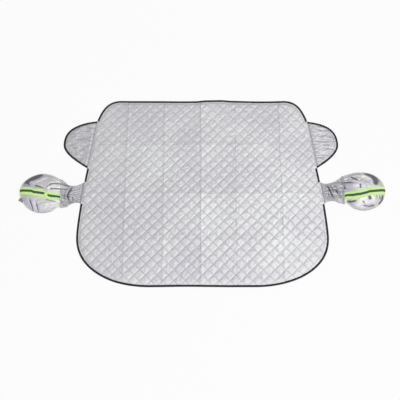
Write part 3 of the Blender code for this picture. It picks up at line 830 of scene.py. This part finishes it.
def pouch_surface(side_name, x, angle, lift):
    """A point on the folded pouch, raised off its cloth by lift, and the painted shade of its fold valleys
    and its rim.
    """
    here = smooth_dome(side_name, x, angle)
    seed = 3.0 if side_name == "left" else 8.0
    spot = Vector((here.x, here.y, seed))
    slack = POUCH_SLACK * noise.noise(spot * 10) - POUCH_DENTS * crumple(here.x + seed, here.y, 15, 3)
    slack += POUCH_CRUMPLE * (crumple(here.x + seed, here.y, 60) - 0.4)
    folds = fold_height(POUCH_FOLDS[side_name], here)
    pleats = pleat_rise(side_name, here, angle)
    seam = smooth_step(math.sin(angle) * 3.0) * smooth_step((CREST_X + CAP_LENGTH - x) / 0.012)
    point = here + outward(side_name, x, angle) * ((folds + pleats + slack) * seam + lift)
    point.z = max(point.z, POUCH_RIM)
    # Painted shade along the rim past the flank and round the tip, where the dome meets the floor.
    hem = 0.6 * (1 - smooth_step(math.sin(angle) * 4) * smooth_step((CREST_X + CAP_LENGTH - x) / 0.006))
    hem *= smooth_step((x - FLANK_X - FLANK_REACH) / 0.03)
    return Vector((point.x * LIES[side_name]["side"], point.y, point.z)), max(hem, valley_shade(folds))


def build_pouch_front(side_name, mats):
    flare_share = 0.5

    def place(out, round_share):
        if out < flare_share:
            x = NECK_X + FLARE_LENGTH * out / flare_share
        else:
            x = CREST_X + CAP_LENGTH * math.sin(math.radians(90) * (out - flare_share) / (1 - flare_share))
        return pouch_surface(side_name, x, math.pi * round_share, 0)

    front = add_cloth(side_name + "_pouch_front_cloth", (170, 180), place, (0.30, 0.29),
                      mats["taffeta"], [side_name + "_pouch_front"], TAFFETA_THICKNESS)


def ribbon_point(side_name, x, offset, lift):
    """A point of the ribbon: offset is measured across it from its middle line."""
    pinch = LIES[side_name]["pinch"]
    if pinch:
        squeeze = math.exp(-((x - pinch) / PINCH_REACH) ** 2)
        offset *= 1 - PINCH_SHARE * squeeze
        if lift < STRIP_LIFT:
            lift += PINCH_RISE * squeeze ** 3 * math.exp(-(offset / STRIP_WIDTH) ** 2)
    middle, half, _ = pouch_section(side_name, x)
    share = (ribbon_middle(side_name, x) + offset - middle) / max(half, RIBBON_WIDTH * 0.51)
    angle = math.acos(max(-0.97, min(0.97, share)))
    return pouch_surface(side_name, x, angle, lift)[0]


def build_ribbon(side_name, mats):
    start, finish = (LIES[side_name]["ribbon"][i][0] for i in (0, -1))
    length = finish - start
    for part, width, lift, mat, slot in (
            ("neon_ribbon", RIBBON_WIDTH, RIBBON_LIFT, mats["neon"], "neon"),
            ("reflective_strip", STRIP_WIDTH, STRIP_LIFT, mats["reflective"], "reflective")):

        def place(out, over):
            return ribbon_point(side_name, start + length * out, width * (over - 0.5), lift)

        steps = (150, max(6, round(width / 0.0020)))
        band = add_cloth(f"{side_name}_{part}_cloth", steps, place, (length, width),
                         mat, [f"{side_name}_{part}"], RIBBON_THICKNESS)
    rows = []
    count = round(length / STITCH_PITCH) + 1
    for offset in (-RIBBON_STITCH_PLACE * RIBBON_WIDTH, RIBBON_STITCH_PLACE * RIBBON_WIDTH):
        rows.append([ribbon_point(side_name, start + length * (i + 0.5) / count, offset, RIBBON_LIFT)
                     for i in range(count)])
    sew(side_name + "_ribbon_stitches", rows, mats["lime_thread"])


def build_pouch_back(side_name, mats):
    side = LIES[side_name]["side"]
    start = NECK_X + MOUTH_SET_BACK
    finish = CREST_X + CAP_LENGTH

    def place(out, over):
        x = start + (finish - start) * math.sin(math.radians(90) * out)
        upper, lower = flanks(side_name, x)
        y = upper + (lower - upper) * (BACK_SET_IN + (1 - 2 * BACK_SET_IN) * over)
        gather = BACK_GATHER * (1 - out) * math.sin(over * 90)
        return Vector((x * side, y, BACK_HEIGHT + max(0.0, gather)))

    back = add_cloth(side_name + "_pouch_back_cloth", (60, 40), place, (finish - start, POUCH_WIDTH),
                     mats["taffeta"], [side_name + "_pouch_back"], BACK_THICKNESS)


def build_seam_tail(mats):
    """The end of the left pouch's seam, which sticks out from under its rim."""
    low, high = TAIL_ROOT

    def place(out, over):
        point = low.lerp(high, over).lerp(TAIL_TIP, out * (1 - TAIL_BLUNTNESS))
        point.z = TAIL_LOW + TAIL_RISE * out + TAIL_CURL * out * math.sin(math.pi * over)
        # The whole tail gets painted shade.
        return Vector((-point.x, point.y, point.z)), 0.75

    tail = add_cloth("left_seam_tail", (10, 12), place, (0.022, 0.046), mats["taffeta"],
                     thickness=TAIL_THICKNESS)


def build_elastic(side_name, mats):
    """The hem of the mouth, gathered round its elastic."""
    side = LIES[side_name]["side"]
    x = NECK_X + MOUTH_SET_BACK - ELASTIC_SET_OUT
    upper, lower = flanks(side_name, x)

    def place(over, turn_share):
        turn = math.tau * turn_share
        swell = 1 + 0.16 * math.sin(over * 260)
        y = upper - ELASTIC_SET_IN + (lower - upper + 2 * ELASTIC_SET_IN) * over
        across = ELASTIC_HALF_WIDTH * math.cos(turn) * swell
        rise = ELASTIC_HALF_DEPTH * math.sin(turn) * swell
        return Vector(((x + across) * side, y, ELASTIC_HEIGHT + rise))

    bm = cloth_grid(160, 10, place, (0.30, 0.016))
    holes = [edge for edge in bm.edges if edge.is_boundary]
    bmesh.ops.holes_fill(bm, edges=holes, sides=0)
    bmesh.ops.recalc_face_normals(bm, faces=bm.faces)
    add_piece(side_name + "_mouth_elastic_hem", bm, [mats["elastic"]],
              [side_name + "_mouth_elastic"])


def build_sleeve(side_name, mats):
    """Gathered cloth from under the panel's edge to over the pouch's neck, where it ends in a lip."""
    lie_of = LIES[side_name]
    seed = 5.0 if side_name == "left" else 1.0
    under, free_run = LAP, NECK_X - HALF_WIDTH
    lap_start = under + free_run
    length = lap_start + NECK_LAP

    def place(out, over):
        angle = math.pi * over
        walked = out * length
        y = SLEEVE_MIDDLE + SLEEVE_WIDTH / 2 * math.cos(angle)
        edge_x = half_width_at(y)
        neck, _ = pouch_surface(side_name, NECK_X, angle, SLEEVE_LIFT)
        neck.x = NECK_X
        if walked < under:
            point = Vector((edge_x - under + walked, y, FLAP_HIGH))
            free = 0.0
        elif walked < lap_start:
            share = (walked - under) / free_run
            point = Vector((edge_x, y, FLAP_HIGH)).lerp(neck, share)
            middle = SLEEVE_MIDDLE + lie_of["neck"] * share
            narrowed = 1 - (1 - SLEEVE_WAIST / SLEEVE_WIDTH) * math.sin(math.pi * share) ** 0.7
            point.y = middle + (point.y - middle) * narrowed
            point.z = FLAP_HIGH + (neck.z - FLAP_HIGH) * smooth_step(share * 1.3)
            free = smooth_step(share * 4)
        else:
            past = walked - lap_start
            lip = LIP_RISE * smooth_step(past / NECK_LAP * 3 - 2)
            point, _ = pouch_surface(side_name, NECK_X + past, angle, SLEEVE_LIFT + lip)
            point.x = abs(point.x)
            free = 0.8
        rise = Vector((0, math.cos(angle), math.sin(angle) + 0.3)).normalized()
        walk = over * SLEEVE_GATHERS + lie_of["lean"] * out
        walk += 1.2 * noise.noise(Vector((out * 3, over * 4, seed)))
        gather = (0.5 - 0.5 * math.cos(math.tau * walk)) ** 1.5
        least, more = SLEEVE_GATHER_RISE
        depth = least + more * (0.5 + noise.noise(Vector((over * 9, out * 2, seed + 3))))
        fine = SLEEVE_CRUMPLE * (crumple(point.x + seed, point.y, 48, 1.5) - 0.4)
        folds = fold_height(SLEEVE_FOLDS[side_name], point)
        level = free * smooth_step(math.sin(angle) * 4) * (depth * gather + fine + folds)
        if walked > lap_start:
            level = max(level, -SLEEVE_LIFT / 2)
        point = point + rise * max(level, FLAP_HIGH - point.z)
        point.x *= lie_of["side"]
        # Painted shadow of the panel's edge, in a line just past where the sleeve goes under it.
        seam = 0.7 * math.exp(-((walked - under - 0.003) / 0.004) ** 2)
        # Painted shade in the valleys of the gathers and folds of the free cloth, and little on the lip,
        # which stands up.
        pale_lip = 1 - 0.9 * smooth_step((walked - lap_start) / NECK_LAP * 6 - 4.6)
        dark = free * pale_lip * max(valley_shade(folds), 0.42 * (1 - gather))
        return lie(point), max(seam, dark)

    sleeve = add_cloth(side_name + "_sleeve_cloth", (130, 150), place, (0.12, 0.26),
                       mats["cloth"], [side_name + "_sleeve"], TAFFETA_THICKNESS)


# Finishes

def feed(tree, socket, value):
    """Links a socket to another one, or sets it to a plain value."""
    if isinstance(value, bpy.types.NodeSocket):
        tree.links.new(value, socket)
    else:
        socket.default_value = value


def node(tree, kind, **values):
    """Adds a shader node. A value that names an input feeds it, and the others are settings."""
    made = tree.nodes.new("ShaderNode" + kind)
    for key, value in values.items():
        if key in made.inputs:
            feed(tree, made.inputs[key], value)
        else:
            setattr(made, key, value)
    return made


def number(tree, operation, *values, kind="Math"):
    """One sum of numbers, or of vectors where the kind is VectorMath. Each may be a socket."""
    made = node(tree, kind, operation=operation)
    for socket, value in zip(made.inputs, values):
        feed(tree, socket, value)
    return made.outputs[0]


def spread(tree, value, low, high, to_low=0.0, to_high=1.0):
    """Maps a range of numbers to another, and holds at its ends."""
    made = node(tree, "MapRange", Value=value)
    for socket, limit in zip(("From Min", "From Max", "To Min", "To Max"), (low, high, to_low, to_high)):
        made.inputs[socket].default_value = limit
    return made.outputs[0]


def colour_mix(tree, amount, first, second):
    """Mixes two colours. Each may be a socket or three plain numbers."""
    mix = node(tree, "Mix", data_type="RGBA")
    for place, value in ((0, amount), (6, first), (7, second)):
        feed(tree, mix.inputs[place], (*value, 1) if isinstance(value, tuple) else value)
    return mix.outputs[2]


def group(name, inputs, outputs):
    """A node group with named number or vector sockets."""
    tree = bpy.data.node_groups.new(name, "ShaderNodeTree")
    kinds = {"number": "NodeSocketFloat", "vector": "NodeSocketVector"}
    for direction, sockets in (("INPUT", inputs), ("OUTPUT", outputs)):
        for socket_name, kind in sockets.items():
            tree.interface.new_socket(socket_name, in_out=direction, socket_type=kinds[kind])
    return tree, tree.nodes.new("NodeGroupInput"), tree.nodes.new("NodeGroupOutput")


def use_group(tree, shared, **values):
    """Places a shared group. A space in the name of an input is written as an underscore."""
    made = tree.nodes.new("ShaderNodeGroup")
    made.node_tree = shared
    for key, value in values.items():
        feed(tree, made.inputs[key.replace("_", " ")], value)
    return made


def crinkle_group():
    """Fine crumpling of a film, as a height."""
    tree, given, made = group("Film crinkle", {"Place": "vector", "Scale": "number"}, {"Height": "number"})
    place, scale = given.outputs[:2]
    warp = node(tree, "TexNoise", Vector=place, Scale=scale, Detail=3.0).outputs["Color"]
    bent = number(tree, "MULTIPLY_ADD", warp, (CRINKLE_BEND,) * 3, place, kind="VectorMath")
    cells = node(tree, "TexVoronoi", Vector=bent, Scale=scale).outputs["Distance"]
    rough = node(tree, "TexNoise", Vector=bent, Scale=scale, Detail=6.0, Roughness=0.6).outputs["Fac"]
    feed(tree, made.inputs["Height"], number(tree, "ADD", cells, rough))
    return tree


def weave_group():
    """Plain weave, threads over and under: a height, and a mask of the gaps."""
    tree, given, made = group("Plain weave", {"Place": "vector", "Threads per metre": "number"},
                              {"Height": "number", "Gaps": "number"})
    scaled = number(tree, "MULTIPLY", *given.outputs[:2], kind="VectorMath")
    waves = []
    for thread in node(tree, "SeparateXYZ", Vector=scaled).outputs[:2]:
        wave = number(tree, "SINE", number(tree, "MULTIPLY", thread, math.pi))
        waves.append(number(tree, "ABSOLUTE", wave))
    height = number(tree, "MULTIPLY", *waves)
    feed(tree, made.inputs["Height"], height)
    feed(tree, made.inputs["Gaps"], number(tree, "SUBTRACT", 1.0, height))
    return tree


def quilting_group():
    """Masks of the quilting on a map that counts pillows: the grooves, and the stitches in them."""
    tree, given, made = group("Quilting lines", {"Place": "vector", "Groove width": "number"},
                              {"Groove": "number", "Stitches": "number"})
    gaps, lines, dashes = [], [], []
    for place in node(tree, "SeparateXYZ", Vector=given.outputs["Place"]).outputs[:2]:
        gaps.append(number(tree, "PINGPONG", place, 0.5))
        lines.append(spread(tree, gaps[-1], 0.008, 0.014, 1.0, 0.0))
        dash = number(tree, "PINGPONG", number(tree, "MULTIPLY", place, STITCHES_A_PILLOW), 0.5)
        dashes.append(spread(tree, dash, 0.12, 0.20))
    near = number(tree, "DIVIDE", number(tree, "MINIMUM", *gaps), given.outputs["Groove width"])
    feed(tree, made.inputs["Groove"], spread(tree, near, 0.0, 1.0, 1.0, 0.0))
    sewn = [number(tree, "MULTIPLY", line, dash) for line, dash in zip(lines, reversed(dashes))]
    feed(tree, made.inputs["Stitches"], number(tree, "MAXIMUM", *sewn))
    return tree


def new_material(name, roughness, metallic):
    mat = bpy.data.materials.new(name)
    mat.use_nodes = True
    tree = mat.node_tree
    shader = tree.nodes["Principled BSDF"]
    shader.inputs["Roughness"].default_value = roughness
    shader.inputs["Metallic"].default_value = metallic
    return mat, tree, shader


def dress(tree, shader, colour, height, depth):
    """Gives a shader its colour, and its relief through a bump."""
    feed(tree, shader.inputs["Base Color"], colour)
    relief = node(tree, "Bump", Strength=1.0, Distance=depth, Height=height)
    feed(tree, shader.inputs["Normal"], relief.outputs["Normal"])


def crease_shade_lines(tree, quilting_place):
    """A thin line of painted shade along each crease of the packing, on its side turned from the light,
    broken up along its length.
    """
    parts = node(tree, "SeparateXYZ", Vector=quilting_place).outputs[:2]
    mask = 0.0
    for operation, shift, creases in (("SUBTRACT", QUILT_SHIFT_X, UPRIGHT_CREASES),
                                      ("ADD", QUILT_SHIFT_Y, LEVEL_CREASES)):
        place = number(tree, "MULTIPLY", number(tree, operation, *parts), QUILT_PITCH / math.sqrt(2))
        for where, rise in creases:
            gap = number(tree, "ABSOLUTE", number(tree, "SUBTRACT", place, where - shift - CREASE_SHADE_SHIFT))
            line = spread(tree, gap, 0.0, CREASE_SHADE_WIDTH, rise / CREASE_SHADE_RISE, 0.0)
            mask = number(tree, "MAXIMUM", mask, line)
    breaks = node(tree, "TexNoise", Vector=quilting_place, Scale=0.5, Detail=3.0).outputs["Fac"]
    return number(tree, "MULTIPLY", mask, spread(tree, breaks, 0.35, 0.60, 0.15, 1.0))


def film_material(crinkle, quilting):
    """Aluminised film: satin metal, crinkled, with painted shade along its stitch lines and its packing
    creases.
    """
    mat, tree, shader = new_material("Quilted silver film", 0.42, 0.82)
    place = node(tree, "TexCoord").outputs["Object"]
    quilting_place = node(tree, "UVMap", uv_map="quilting").outputs["UV"]
    lines = use_group(tree, quilting, Place=quilting_place, Groove_width=0.10)
    wrinkle = use_group(tree, crinkle, Place=place, Scale=60.0).outputs["Height"]
    patches = node(tree, "TexNoise", Vector=place, Scale=3.0, Detail=2.0).outputs["Fac"]
    silver = colour_mix(tree, spread(tree, patches, 0.35, 0.65), (0.66, 0.655, 0.69), (0.74, 0.745, 0.75))
    # Painted shade in the stitched grooves, weaker up the page, where the pillows lie flatter.
    up_the_page = node(tree, "SeparateXYZ", Vector=place).outputs["Y"]
    fading = spread(tree, up_the_page, -0.2, 0.5, 0.44, 0.28)
    groove_shade = number(tree, "MULTIPLY", lines.outputs["Groove"], fading)
    groove_shaded = colour_mix(tree, groove_shade, silver, (0.36, 0.36, 0.38))
    # Painted shade along the packing creases.
    creases = number(tree, "MULTIPLY", crease_shade_lines(tree, quilting_place), 0.55)
    folded = colour_mix(tree, creases, groove_shaded, (0.34, 0.34, 0.37))
    stitches = number(tree, "MULTIPLY", lines.outputs["Stitches"], 0.5)
    sewn = colour_mix(tree, stitches, folded, (0.80, 0.80, 0.82))
    feed(tree, shader.inputs["Roughness"], spread(tree, wrinkle, 0.3, 1.4, 0.36, 0.50))
    raised = number(tree, "MULTIPLY", stitches, 0.7)
    relief = number(tree, "ADD", number(tree, "MULTIPLY", wrinkle, 0.5), raised)
    dress(tree, shader, sewn, relief, 0.0010)
    return mat


def lining_material(quilting):
    """Soft grey felt, with painted shade along the same stitched grooves."""
    mat, tree, shader = new_material("Grey felt lining", 0.9, 0.0)
    place = node(tree, "TexCoord").outputs["Object"]
    quilting_place = node(tree, "UVMap", uv_map="quilting").outputs["UV"]
    lines = use_group(tree, quilting, Place=quilting_place, Groove_width=0.14)
    fibres = node(tree, "TexNoise", Vector=place, Scale=420.0, Detail=6.0, Roughness=0.7).outputs["Fac"]
    felt = colour_mix(tree, fibres, (0.36, 0.36, 0.37), (0.56, 0.56, 0.57))
    # Painted shade in the stitched grooves.
    groove_shade = number(tree, "MULTIPLY", lines.outputs["Groove"], 0.4)
    pressed = colour_mix(tree, groove_shade, felt, (0.30, 0.30, 0.31))
    sewn = colour_mix(tree, lines.outputs["Stitches"], pressed, (0.62, 0.62, 0.63))
    dress(tree, shader, sewn, fibres, 0.0006)
    return mat


def cloth_material(name, crinkle, weave, colours, roughness, metallic, scale, depth):
    """Silver-coated cloth: a fine weave under a crumpled coating, in two slow tints, with painted shade in
    the gaps of its weave and, as its crease attribute gives, in its creases, along its rim and beside the
    panel's edge.
    """
    mat, tree, shader = new_material(name, roughness, metallic)
    place = node(tree, "TexCoord").outputs["Object"]
    threads = node(tree, "UVMap", uv_map="cloth").outputs["UV"]
    wrinkle = use_group(tree, crinkle, Place=place, Scale=scale).outputs["Height"]
    woven = use_group(tree, weave, Place=threads, Threads_per_metre=2200.0)
    patches = node(tree, "TexNoise", Vector=place, Scale=scale * 0.3, Detail=2.0).outputs["Fac"]
    silver = colour_mix(tree, spread(tree, patches, 0.38, 0.62), *colours)
    gaps = number(tree, "MULTIPLY", woven.outputs["Gaps"], 0.10)
    shaded = colour_mix(tree, gaps, silver, (0.3, 0.3, 0.31))
    # The crease attribute holds painted shade: in fold valleys and gathers, along the pouch's rim, beside
    # the panel's edge and on the seam tail.
    crease = node(tree, "Attribute", attribute_name="crease").outputs["Fac"]
    creased = colour_mix(tree, number(tree, "MULTIPLY", crease, 0.88), shaded, (0.12, 0.11, 0.15))
    gloss = spread(tree, wrinkle, 0.3, 1.4, roughness - 0.06, roughness + 0.10)
    feed(tree, shader.inputs["Roughness"], gloss)
    relief = number(tree, "ADD", wrinkle, number(tree, "MULTIPLY", woven.outputs["Height"], 0.05))
    dress(tree, shader, creased, relief, depth)
    return mat


def woven_material(name, weave, colour, gap_shade_colour, roughness, threads, sheen=0.0, metallic=0.0):
    """A plain ribbon, tape or elastic: threads with painted shade in the gaps between them."""
    mat, tree, shader = new_material(name, roughness, metallic)
    shader.inputs["Sheen Weight"].default_value = sheen
    along = node(tree, "UVMap", uv_map="cloth").outputs["UV"]
    woven = use_group(tree, weave, Place=along, Threads_per_metre=threads)
    place = node(tree, "TexCoord").outputs["Object"]
    wear = node(tree, "TexNoise", Vector=place, Scale=45.0, Detail=4.0).outputs["Fac"]
    lighter = tuple(min(1.0, c * 1.15 + 0.004) for c in colour)
    worn = colour_mix(tree, spread(tree, wear, 0.35, 0.7), colour, lighter)
    # Painted shade in the gaps of the weave.
    mixed = colour_mix(tree, number(tree, "MULTIPLY", woven.outputs["Gaps"], 0.45), worn, gap_shade_colour)
    dress(tree, shader, mixed, woven.outputs["Height"], 0.0003)
    return mat


def thread_material(name, colour):
    mat, tree, shader = new_material(name, 0.6, 0.0)
    place = node(tree, "TexCoord").outputs["Object"]
    twist = node(tree, "TexNoise", Vector=place, Scale=2500.0, Detail=1.0).outputs["Fac"]
    darker = tuple(c * 0.7 for c in colour)
    feed(tree, shader.inputs["Base Color"], colour_mix(tree, twist, darker, colour))
    return mat


def make_materials():
    crinkle, weave, quilting = crinkle_group(), weave_group(), quilting_group()
    return {
        "film": film_material(crinkle, quilting),
        "lining": lining_material(quilting),
        "cloth": cloth_material("Plain silver cloth", crinkle, weave,
                                ((0.56, 0.56, 0.59), (0.66, 0.66, 0.67)), 0.36, 0.78, 90.0, 0.0008),
        "taffeta": cloth_material("Shiny silver taffeta", crinkle, weave,
                                  ((0.66, 0.645, 0.70), (0.75, 0.75, 0.71)), 0.32, 0.85, 55.0, 0.0005),
        "tape": woven_material("Black binding tape", weave, (0.012, 0.012, 0.013), (0.004, 0.004, 0.004),
                               0.80, 900.0, sheen=0.05),
        "elastic": woven_material("Grey elastic", weave, (0.12, 0.12, 0.13), (0.05, 0.05, 0.05), 0.8, 900.0),
        "neon": woven_material("Neon lime ribbon", weave, (0.68, 0.98, 0.36), (0.56, 0.88, 0.25),
                               0.50, 700.0),
        "reflective": woven_material("Grey reflective strip", weave, (0.055, 0.11, 0.07), (0.04, 0.08, 0.05),
                                     0.40, 1200.0, metallic=0.3),
        "black_thread": thread_material("Black thread", (0.03, 0.03, 0.032)),
        "grey_thread": thread_material("Grey thread", (0.45, 0.45, 0.46)),
        "lime_thread": thread_material("Lime thread", (0.50, 0.90, 0.15)),
    }


# Studio

def make_camera():
    data = bpy.data.cameras.new("camera")
    data.lens = CAMERA_LENS
    data.sensor_width = 36
    camera = put_in_scene("camera", data)
    back = Vector((0, -math.sin(CAMERA_TILT), math.cos(CAMERA_TILT)))
    camera.location = CAMERA_AIM + back * CAMERA_DISTANCE
    camera.rotation_euler = (CAMERA_TILT, 0, 0)
    bpy.context.scene.camera = camera


def add_softbox(name, place, aim, size, power):
    data = bpy.data.lights.new(name, "AREA")
    data.shape = "SQUARE"
    data.size = size
    data.energy = power
    lamp = put_in_scene(name, data)
    lamp.location = place
    lamp.rotation_mode = "QUATERNION"
    lamp.rotation_quaternion = (Vector(aim) - Vector(place)).to_track_quat("-Z", "Y")


def make_world():
    """A plain pale studio, white towards its bright side and dark opposite it."""
    world = bpy.data.worlds.new("studio")
    world.use_nodes = True
    tree = world.node_tree
    background = tree.nodes["Background"]
    direction = node(tree, "TexCoord").outputs["Generated"]
    facing = node(tree, "VectorMath", operation="DOT_PRODUCT")
    feed(tree, facing.inputs[0], direction)
    feed(tree, facing.inputs[1], BRIGHT_SIDE.normalized())
    level = spread(tree, facing.outputs["Value"], -1.0, 1.0)
    feed(tree, background.inputs["Color"], colour_mix(tree, level, (0.02, 0.015, 0.05), (1.0, 1.0, 1.0)))
    background.inputs["Strength"].default_value = WORLD_STRENGTH
    bpy.context.scene.world = world


def make_floor():
    """A matt floor, which the camera and reflections see nearly white."""
    bm = bmesh.new()
    bmesh.ops.create_grid(bm, x_segments=1, y_segments=1, size=FLOOR_REACH)
    mesh = bpy.data.meshes.new("floor")
    bm.to_mesh(mesh)
    bm.free()
    floor = put_in_scene("floor", mesh)
    floor.location.z = -CLEARANCE
    mat, tree, shader = new_material("White floor", 0.9, 0.0)
    shader.inputs["Base Color"].default_value = (0.9, 0.9, 0.9, 1)
    white = node(tree, "Emission", Strength=1.0, Color=(1, 1, 1, 1))
    rays = node(tree, "LightPath").outputs
    mirrored_rays = number(tree, "MAXIMUM", rays["Is Glossy Ray"], rays["Is Transmission Ray"])
    seen = number(tree, "MAXIMUM", rays["Is Camera Ray"], mirrored_rays)
    mix = node(tree, "MixShader", Fac=number(tree, "MULTIPLY", seen, FLOOR_WHITENESS))
    feed(tree, mix.inputs[1], shader.outputs[0])
    feed(tree, mix.inputs[2], white.outputs[0])
    feed(tree, tree.nodes["Material Output"].inputs["Surface"], mix.outputs[0])
    mesh.materials.append(mat)


def make_studio():
    make_camera()
    make_world()
    make_floor()
    add_softbox("key_softbox", (0.6, -2.7, 2.4), (0.3, 0, 0), 3.0, 12)
    add_softbox("overhead_softbox", (1.9, 0.1, 3.9), (0.7, 0, 0), 3.6, 25)


def build_cover():
    mats = make_materials()
    build_panel(mats["film"], mats["lining"])
    build_tapes(mats)
    build_edge_stitches(mats["grey_thread"])
    for side_name, lie_of in LIES.items():
        build_flap(side_name, lie_of["side"], mats)
        build_pouch_back(side_name, mats)
        build_pouch_front(side_name, mats)
        build_ribbon(side_name, mats)
        build_elastic(side_name, mats)
        build_sleeve(side_name, mats)
    build_seam_tail(mats)


make_studio()
build_cover()
bpy.context.scene.view_settings.view_transform = "Standard"
